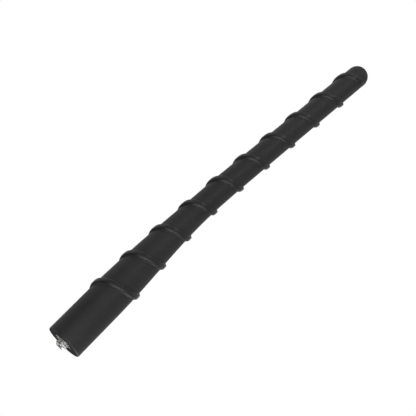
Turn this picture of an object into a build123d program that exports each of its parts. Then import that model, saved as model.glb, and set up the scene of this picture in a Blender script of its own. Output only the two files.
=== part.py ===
"""Short flexible roof mast aerial: a ribbed rubber jacket over a wound rod, on a plated threaded base.

Millimetres. The origin is the centre of the jacket's base end, +Z runs up the mast at the base, and the mast
bends slightly towards +X. Lengths called "along" are measured on the bent centre line from the base end.
"""

import os
from math import cos, pi, radians, sin

from build123d import *

# Jacket
mast_length = 181.4
base_r = 7.6
slender_r = 5.2
tip_r = 4.9
shoulder_start = 20.4
shoulder_end = 82.0
rim_round = 0.5
mouth_bevel = 0.3

# Slight bend of the centre line
bend_start = 47.4
bend_end = 97.4
bend_angle = radians(5.26)

# Helical rib: its foot and crest are measured from its middle, and its slope is gentler towards the base
rib_pitch = 16.0
rib_datum = 32.1
rib_height = 0.95
rib_base_foot = 1.8
rib_tip_foot = 1.55
rib_crest_half = 0.95
rib_bury = 0.5
rib_first = 17.7
rib_last = 177.0
rib_run_in = 4.5
rib_run_out = 3.5

# Base ferrule
stud_r = 2.5
stud_reach = 2.1
stud_chamfer = 0.9
cup_inner_r = 4.0
cup_outer_r = 4.7
cup_lip = 0.4
cup_floor = 5.5
collar_top = 11.0
groove_r = 3.7
groove_width = 3.0
flange_width = 4.5
neck_r = 3.0
neck_top = 32.0
socket_floor = 13.0

# Core rod
rod_r = 1.5
rod_top = 171.0
rod_chamfer = 0.4

# Radiator winding: its close turns are one tube, and the wire's tail runs down into the ferrule
wire_r = 0.25
winding_start = 33.5
winding_end = 168.0
tail_depth = 3.0
tail_slot_r = 0.4

# Solder bead
bead_r = 1.0
bead_top_r = 0.5
bead_height = 0.9
bead_rod_gap = 0.1

# Clearances between pieces that touch
bond_gap = 0.02
bore_end_gap = 0.5

# Short tapers in the jacket's curves, points on each turn of the rib's path and lengths of its sweep
rim_steps = 3
shoulder_steps = 5
bend_steps = 16
rib_steps = 12
rib_lengths = 20

bend_r = (bend_end - bend_start) / bend_angle
dome_start = mast_length - tip_r
flange_low = collar_top + groove_width
flange_top = flange_low + flange_width
winding_inner_r = rod_r + bond_gap
winding_outer_r = winding_inner_r + 2 * wire_r
bore_r = winding_outer_r + bond_gap
tail_r = winding_inner_r + wire_r


def station(along):
    """Plane across the bent centre line, with X on the bend's inner side and Z along the mast."""
    turned = min(max(along - bend_start, 0), bend_end - bend_start) / bend_r
    upper = max(along - bend_end, 0)
    x = bend_r * (1 - cos(turned)) + upper * sin(turned)
    z = min(along, bend_start) + bend_r * sin(turned) + upper * cos(turned)
    return Plane((x, 0, z), x_dir=(cos(turned), 0, -sin(turned)), z_dir=(sin(turned), 0, cos(turned)))


def ease(t):
    """Smooth step from 0 to 1."""
    t = min(max(t, 0), 1)
    return t * t * (3 - 2 * t)


def body_r(along):
    """Jacket radius under the rib: plain base, S-curved shoulder, slender cone."""
    slender = slender_r + (tip_r - slender_r) * (along - shoulder_end) / (dome_start - shoulder_end)
    return base_r + (slender - base_r) * ease((along - shoulder_start) / (shoulder_end - shoulder_start))


def spread(start, end, count):
    """Evenly spaced values from start to end."""
    return [start + (end - start) * i / (count - 1) for i in range(count)]


def bar(radius, start, end):
    """Round bar that follows the centre line from below the bend to above it."""
    low, bend_in, bend_out, high = (station(s).origin for s in (start, bend_start, bend_end, end))
    path = Wire([Line(low, bend_in), TangentArc(bend_in, bend_out, tangent=(0, 0, 1)), Line(bend_out, high)])
    return sweep(station(start) * Circle(radius), path=path)


def disc(radius, low, high):
    """Upright cylinder on the base axis between two heights."""
    return Pos(0, 0, low) * Cylinder(radius, high - low, align=(Align.CENTER, Align.CENTER, Align.MIN))


def cone(low_r, high_r, height):
    """Upright cone that stands on the plane it is placed in."""
    return Cone(low_r, high_r, height, align=(Align.CENTER, Align.CENTER, Align.MIN))


def spool(gap):
    """Outside of the ferrule that the jacket grips, grown by a gap."""
    collar = disc(cup_outer_r + gap, cup_lip - gap, collar_top + gap)
    groove = disc(groove_r + gap, collar_top, flange_low)
    flange = disc(cup_outer_r + gap, flange_low - gap, flange_top + gap)
    return collar + groove + flange + disc(neck_r + gap, flange_top, neck_top + gap)


def quarters(along):
    """Round section of the jacket in four arcs, which keep the bend's skin light."""
    arcs = [CenterArc((0, 0), body_r(along), start, 90) for start in (0, 90, 180, 270)]
    return station(along) * make_face(arcs)


def rib_point(along):
    """Point on the jacket's skin under the middle of the rib. It dives below the skin at both ends."""
    shown = ease((along - rib_first) / rib_run_in) * ease((rib_last - along) / rib_run_out)
    radius = body_r(along) - (rib_height + rib_bury / 2) * (1 - shown)
    turn = 2 * pi * (along - rib_datum) / rib_pitch
    return station(along).from_local_coords(Vector(radius * cos(turn), radius * sin(turn), 0))


# Jacket skin: turned base with a rounded rim, bent shoulder, slender cone and domed tip
rim = [
    (base_r - rim_round * (1 - sin(a)), 0, rim_round * (1 - cos(a)))
    for a in spread(0, pi / 2, rim_steps + 1)
]
shoulder = [(body_r(s), 0, s) for s in spread(shoulder_start, bend_start, shoulder_steps + 1)]
body = revolve(make_face(Polyline((0, 0, 0), *rim, *shoulder, (0, 0, bend_start), close=True)), Axis.Z)
body += loft([quarters(s) for s in spread(bend_start, bend_end, bend_steps + 1)], ruled=True)
body += station(bend_end) * cone(body_r(bend_end), tip_r, dome_start - bend_end)
body += station(dome_start) * Sphere(tip_r)

# Rib section: X points from the rib to the centre line and Y to the tip. It starts below the skin
rib_depth = (rib_height + rib_bury) / rib_height
base_root = rib_crest_half + (rib_base_foot - rib_crest_half) * rib_depth
tip_root = rib_crest_half + (rib_tip_foot - rib_crest_half) * rib_depth
rib_section = make_face(
    Polyline(
        (rib_bury, -base_root),
        (rib_bury, tip_root),
        (-rib_height, rib_crest_half),
        (-rib_height, -rib_crest_half),
        close=True,
    )
)

# Rib: one helical path, swept in short lengths that meet face to face, because one long sweep doesn't fuse
rib_turns = (rib_last - rib_first) / rib_pitch
rib_path = Spline([rib_point(s) for s in spread(rib_first, rib_last, round(rib_turns * rib_steps))])
rib_cuts = spread(0, 1, rib_lengths + 1)
rib = [
    sweep((rib_path ^ low) * rib_section, path=rib_path.trim(low, high), is_frenet=True)
    for low, high in zip(rib_cuts, rib_cuts[1:])
]
jacket = body.fuse(*rib)

# Jacket inside: the ferrule's grip, the solder's room, the wound rod's bore and the mouth around the stud
solder_room = Pos(0, 0, neck_top) * cone(neck_r, bore_r, winding_start - neck_top)
jacket -= spool(bond_gap) + solder_room + bar(bore_r, neck_top, rod_top + bore_end_gap)
jacket -= disc(cup_inner_r, -rim_round, cup_lip)
mouth_edge = jacket.edges().filter_by(GeomType.CIRCLE).group_by(Axis.Z)[0].sort_by(SortBy.RADIUS)[0]
jacket = chamfer(mouth_edge, mouth_bevel)

# Ferrule: cup around the stud, grip groove, neck with the rod socket and a slot for the wire's tail
ferrule = spool(0)
ferrule -= disc(cup_inner_r, cup_lip, cup_floor)
stud = disc(stud_r, -stud_reach, cup_floor)
ferrule += chamfer(stud.edges().group_by(Axis.Z)[0], stud_chamfer)
ferrule -= disc(rod_r + bond_gap, socket_floor, neck_top)
ferrule -= Pos(tail_r, 0, 0) * disc(tail_slot_r, neck_top - tail_depth - bond_gap, neck_top)

# Rod: bonded in the socket, chamfered at the top
rod = bar(rod_r, socket_floor + bond_gap, rod_top)
rod = chamfer(rod.edges().group_by(Axis.Z)[-1], rod_chamfer)

# Winding with its tail
tail = Pos(tail_r, 0, 0) * disc(wire_r, neck_top - tail_depth, winding_start)
winding = bar(winding_outer_r, winding_start, winding_end) - bar(winding_inner_r, winding_start, winding_end)
winding += tail

# Solder bead around the tail, on top of the ferrule's neck and clear of the rod
bead = Pos(tail_r, 0, neck_top) * cone(bead_r, bead_top_r, bead_height)
bead -= disc(rod_r + bead_rod_gap, neck_top, neck_top + bead_height)
bead -= tail

os.makedirs("parts", exist_ok=True)
export_step(jacket, "parts/jacket.step")
export_step(ferrule, "parts/base_ferrule.step")
export_step(rod, "parts/core_rod.step")
export_step(winding, "parts/radiator_winding.step")
export_step(bead, "parts/solder_joint.step")
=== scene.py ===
"""Looks of the short mast aerial: ribbed black rubber jacket over a nickel-plated base with a threaded stud.

The object's sizes are in millimetres until a mesh is made, which is in metres, in the same frame as the CAD.
Lengths called "along" are measured on the bent centre line from the base end. The floor, the camera and the
lights are in metres.
"""

from math import atan2, cos, pi, radians, sin, tan

import bpy
import numpy as np
from mathutils import Matrix, Vector


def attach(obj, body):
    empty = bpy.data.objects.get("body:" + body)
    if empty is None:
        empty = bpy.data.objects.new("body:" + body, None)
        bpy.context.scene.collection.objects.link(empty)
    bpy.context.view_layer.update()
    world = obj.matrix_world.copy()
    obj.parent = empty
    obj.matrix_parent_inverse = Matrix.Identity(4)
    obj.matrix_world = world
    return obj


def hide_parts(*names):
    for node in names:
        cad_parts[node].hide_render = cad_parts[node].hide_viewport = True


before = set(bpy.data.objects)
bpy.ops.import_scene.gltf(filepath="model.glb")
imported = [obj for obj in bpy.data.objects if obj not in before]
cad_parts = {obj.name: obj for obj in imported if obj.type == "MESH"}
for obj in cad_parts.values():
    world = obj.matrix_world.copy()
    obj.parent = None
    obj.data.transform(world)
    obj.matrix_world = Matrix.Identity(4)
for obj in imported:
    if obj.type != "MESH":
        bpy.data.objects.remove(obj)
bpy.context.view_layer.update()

MM = 0.001

# Jacket
mast_length = 181.4
base_r = 7.6
slender_r = 5.2
tip_r = 4.9
shoulder_start = 20.4
shoulder_end = 82.0
rim_round = 0.5
mouth_round = 0.3
dome_start = mast_length - tip_r

# Slight bend of the centre line
bend_start = 47.4
bend_end = 97.4
bend_angle = radians(5.26)
bend_r = (bend_end - bend_start) / bend_angle

# Helical rib: its foot and crest are measured from its middle, before they are rounded
rib_pitch = 16.0
rib_datum = 32.1
rib_height = 0.95
rib_base_side = {"foot": 1.75, "crest": 1.15, "crest_round": 1.6, "foot_round": 0.25}
rib_tip_side = {"foot": 1.45, "crest": 1.0, "crest_round": 0.4, "foot_round": 0.3}
rib_bury = 0.5
rib_first = 17.7
rib_last = 177.0
rib_run_in = 4.5
rib_run_out = 3.5

# Base ferrule
stud_r = 2.5
stud_reach = 2.1
stud_chamfer = 0.9
chamfer_inset = 0.02
thread_pitch = 0.8
thread_depth = 0.46
thread_crest_half = 0.05
thread_flank = radians(30)
cup_inner_r = 4.0
cup_outer_r = 4.7
cup_lip = 0.4
cup_floor = 5.5
cup_fillet = 0.4
collar_top = 11.0
groove_r = 3.7
groove_width = 3.0
flange_width = 4.5
neck_r = 3.0
neck_top = 32.0
socket_floor = 13.0
edge_break = 0.12
flange_low = collar_top + groove_width
flange_top = flange_low + flange_width

# Rod and winding, which the ferrule's socket and the jacket's bore make room for
rod_r = 1.5
rod_top = 171.0
wire_r = 0.25
winding_start = 33.5
bond_gap = 0.02
bore_end_gap = 0.5
socket_r = rod_r + bond_gap
bore_r = socket_r + 2 * wire_r + bond_gap
bore_end = rod_top + bore_end_gap

# Points round each skin, steps in its curves, and the angle past which its edges stay sharp
jacket_columns = 144
rib_round_steps = 5
valley_steps = 8
dome_steps = 20
rim_steps = 8
mouth_steps = 5
bore_bend_rings = 9
jacket_sharp = radians(40)
ferrule_columns = 96
fillet_steps = 5
ferrule_sharp = radians(30)

# Extra rings that divide wide faces: radii on the flat faces, and a height on the cup's wall
base_end_rings = (6.0, 5.0)
stud_end_rings = (1.0, 0.5)
cup_floor_ring = 3.0
cup_wall_ring = 3.0


def ease(t):
    """Smooth step from 0 to 1."""
    t = np.clip(t, 0, 1)
    return t * t * (3 - 2 * t)


def body_r(along):
    """Jacket radius under the rib: plain base, S-curved shoulder, slender cone."""
    slender = slender_r + (tip_r - slender_r) * (along - shoulder_end) / (dome_start - shoulder_end)
    return base_r + (slender - base_r) * ease((along - shoulder_start) / (shoulder_end - shoulder_start))


def place(along, angle, radius):
    """Points round the bent centre line, in metres."""
    turned = np.clip(along - bend_start, 0, bend_end - bend_start) / bend_r
    upper = np.maximum(along - bend_end, 0)
    centre_x = bend_r * (1 - np.cos(turned)) + upper * np.sin(turned)
    centre_z = np.minimum(along, bend_start) + bend_r * np.sin(turned) + upper * np.cos(turned)
    out = radius * np.cos(angle)
    x = centre_x + out * np.cos(turned)
    y = radius * np.sin(angle)
    z = centre_z - out * np.sin(turned)
    return np.stack([x, y, z], axis=-1) * MM


class Skin:
    """A closed skin made of rings of points and of rows on a helix.

    Each point has a value from 0 to 1 that says how rubbed it is.
    """

    def __init__(self, columns):
        self.columns = columns
        self.angles = 2 * pi * np.arange(columns) / columns
        self.points = []
        self.rubbed = []
        self.faces = []
        self.count = 0

    def add(self, points, rubbed):
        """Adds points and gives their numbers."""
        points = points.reshape(-1, 3)
        self.points.append(points)
        self.rubbed.append(np.broadcast_to(rubbed, len(points)))
        self.count += len(points)
        return np.arange(self.count - len(points), self.count)

    def ring(self, along, radius, rubbed=0.0):
        """A ring round the centre line, or its pole where the radius is 0."""
        if not radius:
            return self.add(place(along, 0.0, 0.0), rubbed)
        return self.add(place(np.full(self.columns, float(along)), self.angles, radius), rubbed)

    def face(self, corners):
        """A face without its repeated corners, if enough are left."""
        kept = [c for i, c in enumerate(corners) if c != corners[i - 1]]
        if len(kept) > 2:
            self.faces.append(kept)

    def join(self, low, high):
        """Faces between two rings, either of which may be a pole."""
        for j in range(self.columns):
            k = (j + 1) % self.columns
            self.face([low[j % len(low)], low[k % len(low)], high[k % len(high)], high[j % len(high)]])

    def rings(self, start, profile, down=False, rubbed=0.0):
        """Rings along a profile of (radius, along), from a ring that exists. Gives the last one.

        A profile that goes down from the outside is joined the other way round, so its faces look out too.
        """
        last = start
        for radius, along in profile:
            new = self.ring(along, radius, rubbed)
            if down:
                self.join(new, last)
            else:
                self.join(last, new)
            last = new
        return last

    def helix(self, datum, pitch, low, high):
        """Where a helix is along the mast, as turns by columns, in every turn that can reach low to high."""
        turns = np.arange(np.floor((low - datum) / pitch) - 1, np.ceil((high - datum) / pitch) + 2)
        return datum + pitch * (turns[:, None] + np.arange(self.columns)[None, :] / self.columns)

    def wound(self, first, last, low, high, along, radius, rubbed):
        """Rows on a helix, in arrays of turns by rows by columns, cut off at the rings first and last."""
        rows, columns = along.shape[1:]
        along, radius, rubbed = (a.reshape(-1, columns) for a in (along, radius, rubbed))
        angle = np.broadcast_to(self.angles, along.shape)
        inside = (along > low) & (along < high)
        index = np.where(along <= low, first, last)
        index[inside] = self.add(place(along[inside], angle[inside], radius[inside]), rubbed[inside])
        next_turn = np.vstack([index[rows:], np.broadcast_to(last, (rows, columns))])
        index = np.hstack([index, next_turn[:, :1]])
        for i in range(len(index) - 1):
            for j in range(columns):
                self.face([index[i, j], index[i, j + 1], index[i + 1, j + 1], index[i + 1, j]])

    def build(self, name, sharp):
        """The finished object, smooth apart from its sharp edges."""
        mesh = bpy.data.meshes.new(name)
        mesh.from_pydata(np.vstack(self.points).tolist(), [], [[int(c) for c in f] for f in self.faces])
        layer = mesh.attributes.new("rubbed", "FLOAT", "POINT")
        layer.data.foreach_set("value", np.concatenate(self.rubbed).astype(np.float32))
        mesh.shade_smooth()
        mesh.set_sharp_from_angle(angle=sharp)
        mesh.validate()
        obj = bpy.data.objects.new(name, mesh)
        bpy.context.scene.collection.objects.link(obj)
        return obj


def arc(centre_r, centre_along, radius, start, end, steps):
    """(radius, along) points on an arc of a turned profile. Angle 0 points out and pi / 2 up the mast."""
    angles = [start + (end - start) * i / steps for i in range(steps + 1)]
    return [(centre_r + radius * cos(a), centre_along + radius * sin(a)) for a in angles]


def rib_side(foot, crest, crest_round, foot_round):
    """One side of the rib's rounded section, from its middle to its foot, as (distance, height)."""
    slope = atan2(rib_height, foot - crest)
    flat = crest - crest_round * tan(slope / 2)
    toe = foot + foot_round * tan(slope / 2)
    turns = [slope * i / rib_round_steps for i in range(rib_round_steps + 1)]
    side = [(0.0, rib_height), (flat / 2, rib_height)]
    side += [(flat + crest_round * sin(a), rib_height - crest_round * (1 - cos(a))) for a in turns]
    side += [(toe - foot_round * sin(a), foot_round * (1 - cos(a))) for a in reversed(turns)]
    return side


def ribbed_rows(skin):
    """The jacket's outside as rows on the rib's helix: along, radius and share of the rib's height."""
    base_side = rib_side(**rib_base_side)
    section = [(-d, h) for d, h in reversed(base_side[1:])] + rib_side(**rib_tip_side)
    valley = [i / valley_steps for i in range(1, valley_steps)]
    centre = skin.helix(rib_datum, rib_pitch, rim_round, dome_start)

    # The rib dives below the skin at both ends, and only what stands above the skin is made
    risen = ease((centre - rib_first) / rib_run_in) * ease((rib_last - centre) / rib_run_out)
    shown = np.maximum(0, 1 - (1 - risen) * (rib_height + rib_bury / 2) / rib_height)

    # The section lies square across the slanting rib, so it is longer along the mast
    slant = np.sqrt(1 + (rib_pitch / (2 * pi * body_r(np.clip(centre, 0, dome_start)))) ** 2)
    gap_start = section[-1][0] * slant
    gap_end = rib_pitch + section[0][0] * slant
    on_rib = [centre + d * slant for d, h in section]
    between = [centre + gap_start + (gap_end - gap_start) * v for v in valley]
    along = np.stack(on_rib + between, axis=1)
    height = np.stack([h * shown for d, h in section] + [0 * centre for v in valley], axis=1)
    return along, body_r(np.clip(along, 0, dome_start)) + height, height / rib_height


def jacket_inside():
    """Profile from the base end, round the mouth and the ferrule, to the end of the rod's bore."""
    grip_r = cup_outer_r + bond_gap
    waist_r = groove_r + bond_gap
    throat_r = neck_r + bond_gap
    seat = cup_lip - bond_gap
    profile = [(r, 0) for r in base_end_rings]
    profile += arc(cup_inner_r + mouth_round, mouth_round, mouth_round, -pi / 2, -pi, mouth_steps)
    profile += [(cup_inner_r, seat), (grip_r, seat), (grip_r, collar_top + bond_gap)]
    profile += [(waist_r, collar_top + bond_gap), (waist_r, flange_low - bond_gap)]
    profile += [(grip_r, flange_low - bond_gap), (grip_r, flange_top + bond_gap)]
    profile += [(throat_r, flange_top + bond_gap), (throat_r, neck_top), (bore_r, winding_start)]
    profile += [(bore_r, s) for s in np.linspace(bend_start, bend_end, bore_bend_rings)]
    return profile + [(bore_r, bore_end), (0, bore_end)]


def make_jacket():
    """Ribbed jacket with its domed tip, its base rim and its inside."""
    skin = Skin(jacket_columns)
    rim_ring = skin.ring(rim_round, base_r)
    dome_ring = skin.ring(dome_start, tip_r)
    skin.wound(rim_ring, dome_ring, rim_round, dome_start, *ribbed_rows(skin))
    dome = arc(0, dome_start, tip_r, 0, pi / 2, dome_steps)
    skin.rings(dome_ring, dome[1:-1] + [(0, mast_length)])
    rim = arc(base_r - rim_round, rim_round, rim_round, 0, -pi / 2, rim_steps)
    end_ring = skin.rings(rim_ring, rim[1:], down=True, rubbed=1.0)
    skin.rings(end_ring, jacket_inside(), down=True)
    return skin.build("jacket_skin", jacket_sharp)


def threaded_rows(skin):
    """The stud's thread as rows on its helix: along, radius and share of the thread's depth."""
    flank_half = thread_crest_half + thread_depth * tan(thread_flank)
    flank = [(flank_half, 0.0), (flank_half / 2, 0.5), (thread_crest_half, 1.0)]
    section = [(-d, h) for d, h in flank] + flank[::-1]
    centre = skin.helix(0, thread_pitch, -stud_reach, cup_floor)
    along = np.stack([centre + d for d, h in section], axis=1)
    height = np.stack([h + 0 * centre for d, h in section], axis=1)
    thread = stud_r - thread_depth * (1 - height)
    chamfer = stud_r - stud_chamfer - chamfer_inset + along + stud_reach
    return along, np.minimum(thread, chamfer), height


def ferrule_outside():
    """Profile from the cup's floor, over its lip, the groove, flange and neck, into the rod's socket."""
    profile = [(cup_floor_ring, cup_floor), (cup_inner_r - cup_fillet, cup_floor)]
    profile += arc(cup_inner_r - cup_fillet, cup_floor - cup_fillet, cup_fillet, pi / 2, 0, fillet_steps)[1:]
    profile += [(cup_inner_r, cup_wall_ring), (cup_inner_r, cup_lip + edge_break)]
    profile += [(cup_inner_r + edge_break, cup_lip), (cup_outer_r - edge_break, cup_lip)]
    profile += [(cup_outer_r, cup_lip + edge_break), (cup_outer_r, collar_top), (groove_r, collar_top)]
    profile += [(groove_r, flange_low), (cup_outer_r, flange_low), (cup_outer_r, flange_top)]
    profile += [(neck_r, flange_top), (neck_r, neck_top), (socket_r, neck_top)]
    return profile + [(socket_r, socket_floor), (0, socket_floor)]


def make_ferrule():
    """Turned ferrule with a cut thread on its stud."""
    skin = Skin(ferrule_columns)
    end_ring = skin.ring(-stud_reach, stud_r - stud_chamfer)
    floor_ring = skin.ring(cup_floor, stud_r - thread_depth)
    skin.wound(end_ring, floor_ring, -stud_reach, cup_floor, *threaded_rows(skin))
    skin.rings(end_ring, [(r, -stud_reach) for r in (*stud_end_rings, 0)], down=True)
    skin.rings(floor_ring, ferrule_outside())
    return skin.build("ferrule_turned", ferrule_sharp)


# Most of a noise's values lie in this span
noise_span = (0.3, 0.7)


def grey(value):
    """A colour with no hue."""
    return (value, value, value)


class Material:
    """A node material with short ways to add nodes and to feed its shader."""

    def __init__(self, name):
        self.material = bpy.data.materials.new(name)
        self.material.use_nodes = True
        self.tree = self.material.node_tree
        self.shader = self.tree.nodes["Principled BSDF"]
        self.place = self.tree.nodes.new("ShaderNodeTexCoord").outputs["Object"]

    def link(self, source, target):
        self.tree.links.new(source, target)

    def feed(self, name, source):
        """Links a node to one of the shader's inputs."""
        self.link(source, self.shader.inputs[name])

    def set(self, name, value):
        """Gives one of the shader's inputs a number that is the same all over."""
        self.shader.inputs[name].default_value = value

    def noise(self, scale, detail, stretch=None):
        """Noise in the object's own space, which may be stretched along each axis."""
        node = self.tree.nodes.new("ShaderNodeTexNoise")
        node.inputs["Scale"].default_value = scale
        node.inputs["Detail"].default_value = detail
        source = self.place
        if stretch:
            mapping = self.tree.nodes.new("ShaderNodeMapping")
            mapping.inputs["Scale"].default_value = stretch
            self.link(source, mapping.inputs["Vector"])
            source = mapping.outputs["Vector"]
        self.link(source, node.inputs["Vector"])
        return node.outputs["Fac"]

    def bands(self, scale):
        """Bands across the Z axis."""
        node = self.tree.nodes.new("ShaderNodeTexWave")
        node.bands_direction = "Z"
        node.inputs["Scale"].default_value = scale
        self.link(self.place, node.inputs["Vector"])
        return node.outputs["Fac"]

    def colours(self, factor, start, end, span=noise_span):
        """Colour that goes from start to end as a factor goes through a span."""
        node = self.tree.nodes.new("ShaderNodeValToRGB")
        for element, position, colour in zip(node.color_ramp.elements, span, (start, end)):
            element.position = position
            element.color = (*colour, 1)
        self.link(factor, node.inputs["Fac"])
        return node.outputs["Color"]

    def numbers(self, factor, start, end, span=noise_span):
        """Number that goes from start to end as a factor goes through a span."""
        node = self.tree.nodes.new("ShaderNodeMapRange")
        for name, value in zip(("From Min", "From Max", "To Min", "To Max"), (*span, start, end)):
            node.inputs[name].default_value = value
        self.link(factor, node.inputs["Value"])
        return node.outputs["Result"]

    def mix(self, factor, source, colour):
        """Goes from a node's colour to a fixed one as a factor goes from 0 to 1."""
        node = self.tree.nodes.new("ShaderNodeMix")
        node.data_type = "RGBA"
        self.link(factor, node.inputs["Factor"])
        self.link(source, node.inputs["A"])
        node.inputs["B"].default_value = (*colour, 1)
        return node.outputs["Result"]

    def attribute(self, name):
        """A value that the mesh has on each point."""
        node = self.tree.nodes.new("ShaderNodeAttribute")
        node.attribute_name = name
        return node.outputs["Fac"]

    def bump(self, *layers):
        """Bump from (height, distance in metres, strength) layers, each on top of the one before."""
        normal = None
        for height, distance, strength in layers:
            node = self.tree.nodes.new("ShaderNodeBump")
            node.inputs["Distance"].default_value = distance
            node.inputs["Strength"].default_value = strength
            self.link(height, node.inputs["Height"])
            if normal:
                self.link(normal, node.inputs["Normal"])
            normal = node.outputs["Normal"]
        self.feed("Normal", normal)

    def put(self, obj):
        """Makes this the only material of an object."""
        obj.data.materials.clear()
        obj.data.materials.append(self.material)


def black_rubber():
    """Fine moulded grain and faint handling marks, rubbed smoother on the rib's crest and the base rim."""
    rubber = Material("black_rubber")
    dark = (0.019, 0.019, 0.0205)
    light = (0.024, 0.024, 0.0255)
    polished = (0.022, 0.022, 0.0235)
    grain = rubber.noise(scale=2600, detail=2.0)
    ripple = rubber.noise(scale=420, detail=2.0)
    cloud = rubber.noise(scale=90, detail=4.0)
    worn = rubber.numbers(rubber.attribute("rubbed"), 0.0, 1.0, span=(0.3, 0.6))
    matt = rubber.colours(cloud, grey(0.47), grey(0.55))
    rubber.feed("Base Color", rubber.mix(worn, rubber.colours(cloud, dark, light), polished))
    rubber.feed("Roughness", rubber.mix(worn, matt, grey(0.33)))
    rubber.set("Specular IOR Level", 0.4)
    rubber.bump((grain, 0.02 * MM, 0.6), (ripple, 0.04 * MM, 0.3))
    return rubber


def nickel_plate():
    """Bright plate with turning marks and slight tarnish."""
    nickel = Material("nickel_plate")
    dull = (0.86, 0.85, 0.84)
    bright = (0.97, 0.97, 0.96)
    tarnish = nickel.noise(scale=500, detail=4.0)
    turning = nickel.noise(scale=900, detail=2.0, stretch=(1, 1, 14))
    nickel.feed("Base Color", nickel.colours(tarnish, dull, bright, span=(0.35, 0.7)))
    nickel.feed("Roughness", nickel.numbers(tarnish, 0.3, 0.48))
    nickel.set("Metallic", 1.0)
    nickel.bump((turning, 0.01 * MM, 0.4))
    return nickel


def glass_fibre():
    """Fine fibres along the rod in pale resin."""
    fibre = Material("glass_fibre")
    resin = (0.62, 0.6, 0.48)
    glass = (0.78, 0.77, 0.66)
    strands = fibre.noise(scale=3000, detail=3.0, stretch=(1, 1, 0.02))
    fibre.feed("Base Color", fibre.colours(strands, resin, glass, span=(0.35, 0.65)))
    fibre.feed("Roughness", fibre.numbers(strands, 0.32, 0.5))
    fibre.bump((strands, 0.01 * MM, 0.5))
    return fibre


def enamelled_copper():
    """Close turns of wire, which show as fine bands, with painted shade darkening the grooves between the
    turns.
    """
    copper = Material("enamelled_copper")
    # Groove colour: the wire's colour darkened as painted shade between the turns
    groove = (0.2, 0.06, 0.02)
    crown = (0.52, 0.2, 0.07)
    wave_radians = 20  # the wave texture's own number to a unit of length, at a scale of 1
    turns = copper.bands(scale=round(2 * pi / (wave_radians * 2 * wire_r * MM)))
    smear = copper.noise(scale=700, detail=3.0)
    copper.feed("Base Color", copper.colours(turns, groove, crown, span=(0.1, 0.9)))
    copper.feed("Roughness", copper.numbers(smear, 0.22, 0.34))
    copper.set("Metallic", 0.85)
    copper.bump((turns, 0.1 * MM, 0.8))
    return copper


def solder():
    """Dull bright metal with a slightly rough skin."""
    tin = Material("solder")
    dross = tin.noise(scale=1600, detail=4.0)
    tin.feed("Base Color", tin.colours(dross, grey(0.5), grey(0.66), span=(0.35, 0.65)))
    tin.feed("Roughness", tin.numbers(dross, 0.28, 0.45))
    tin.set("Metallic", 1.0)
    tin.bump((dross, 0.02 * MM, 0.5))
    return tin


def pale_floor():
    """Nearly white floor that glows softly by itself."""
    pale = Material("pale_floor")
    tint = pale.colours(pale.noise(scale=3.0, detail=3.0), grey(0.96), grey(0.98))
    pale.feed("Base Color", tint)
    pale.feed("Emission Color", tint)
    pale.set("Emission Strength", 0.95)
    pale.set("Roughness", 0.8)
    return pale


# Pieces: two that stand for their CAD nodes, and the three CAD nodes inside them
jacket = make_jacket()
ferrule = make_ferrule()
black_rubber().put(jacket)
nickel_plate().put(ferrule)
glass_fibre().put(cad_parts["core_rod"])
enamelled_copper().put(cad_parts["radiator_winding"])
solder().put(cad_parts["solder_joint"])
for piece, node, slot in ((jacket, "jacket", "black_rubber"), (ferrule, "base_ferrule", "nickel_plate")):
    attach(piece, "root")
    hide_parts(node)

# Floor, below the camera because the photograph looks up the mast. It neither lights the mast nor shows in
# its gloss, because the mast's undersides are dark in the photograph
floor_size = 60
floor_height = -0.9
bpy.ops.mesh.primitive_plane_add(size=floor_size, location=(0, 0, floor_height))
floor = bpy.context.object
floor.name = "floor"
pale_floor().put(floor)
floor.visible_diffuse = False
floor.visible_glossy = False

# Camera at the photograph's viewing angle: its axes, place and lens, worked out from the mast's outline
right = Vector((0.71310, -0.26362, 0.64964))
up = Vector((-0.70110, -0.26928, 0.66036))
back = Vector((0.00089, -0.92630, -0.37681))
viewpoint = Vector((0.0034, -0.3007, -0.0432))
camera = bpy.data.objects.new("camera", bpy.data.cameras.new("camera"))
camera.data.sensor_width = 36.0
camera.data.lens = 68.8
camera.data.clip_start = 0.01
camera.matrix_world = Matrix([[right[i], up[i], back[i], viewpoint[i]] for i in range(3)] + [[0, 0, 0, 1]])
bpy.context.scene.collection.objects.link(camera)
bpy.context.scene.camera = camera

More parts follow.
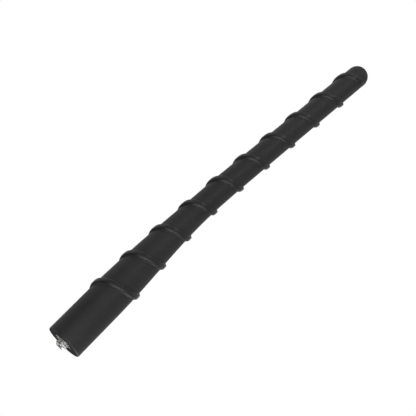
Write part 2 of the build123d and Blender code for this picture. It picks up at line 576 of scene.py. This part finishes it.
# White tent, which the camera sees at full strength and which lights the mast only faintly
tent_seen = 1.0
tent_light = 0.03
world = bpy.data.worlds.new("white_tent")
world.use_nodes = True
nodes = world.node_tree.nodes
links = world.node_tree.links
sky = nodes["Background"]
sky.inputs["Color"].default_value = (1, 1, 1, 1)
strength = nodes.new("ShaderNodeMix")
strength.inputs["A"].default_value = tent_light
strength.inputs["B"].default_value = tent_seen
links.new(nodes.new("ShaderNodeLightPath").outputs["Is Camera Ray"], strength.inputs["Factor"])
links.new(strength.outputs["Result"], sky.inputs["Strength"])
bpy.context.scene.world = world
bpy.context.scene.view_settings.view_transform = "Standard"

# What the lights face
mast_middle = Vector((0.003, 0, 0.085))
mast_top = Vector((0.006, 0, 0.17))
rim_right = Vector((base_r * MM, 0, 0))
stud_end = Vector((0, 0, -0.002))

sheet_distance = 0.6
sheet_size = 0.8


def lamp(name, direction, distance, width, height, power, target=mast_middle):
    """Soft light that faces a point of the mast from one direction. Its width is level."""
    direction = Vector(direction)
    light = bpy.data.objects.new(name, bpy.data.lights.new(name, "AREA"))
    light.data.shape = "RECTANGLE"
    light.data.size = width
    light.data.size_y = height
    light.data.energy = power
    light.location = target + direction.normalized() * distance
    light.rotation_euler = direction.to_track_quat("Z", "Y").to_euler()
    light.visible_camera = False
    bpy.context.scene.collection.objects.link(light)


def sheet(name, direction, power, target=mast_middle):
    """Large square light, at the distance that all sheets have."""
    lamp(name, direction, sheet_distance, sheet_size, sheet_size, power, target)


# Sheets, which give the mast its even tone and its bright edges
sheet("top_sheet", up, 0.93)
sheet("upper_back_sheet", up - right - back, 0.98, mast_top)
sheet("lower_back_sheet", right - up - back, 0.78)
sheet("right_sheet", right, 0.65)
sheet("tip_sheet", right + up, 0.75)
sheet("camera_sheet", back, 0.85, mast_top)

# Streak along the front, and the ribs' sides that face the base
lamp("streak_box", right + up + back, distance=0.45, width=0.15, height=0.15, power=0.16)
lamp("rib_strip", (0.22, -0.82, -0.5), distance=0.5, width=0.9, height=0.15, power=1.25)
lamp("low_box", (0.2, -0.5, -0.85), distance=0.6, width=0.3, height=0.3, power=0.33)

# Sheet behind the mast, for its edges and for the views from the back
sheet("back_sheet", -back, 1.0)

# Right side of the base rim, right ends of the ribs, and the stud with the end face beside it
lamp("base_box", (0.65, 0.4, -0.65), distance=0.12, width=0.12, height=0.12, power=0.09, target=rim_right)
lamp("rib_fill", (0.87, -0.23, -0.44), distance=0.5, width=0.35, height=0.15, power=0.12)
lamp("stud_box", (-0.8, 0.1, -0.5), distance=0.04, width=0.035, height=0.035, power=0.0033, target=stud_end)
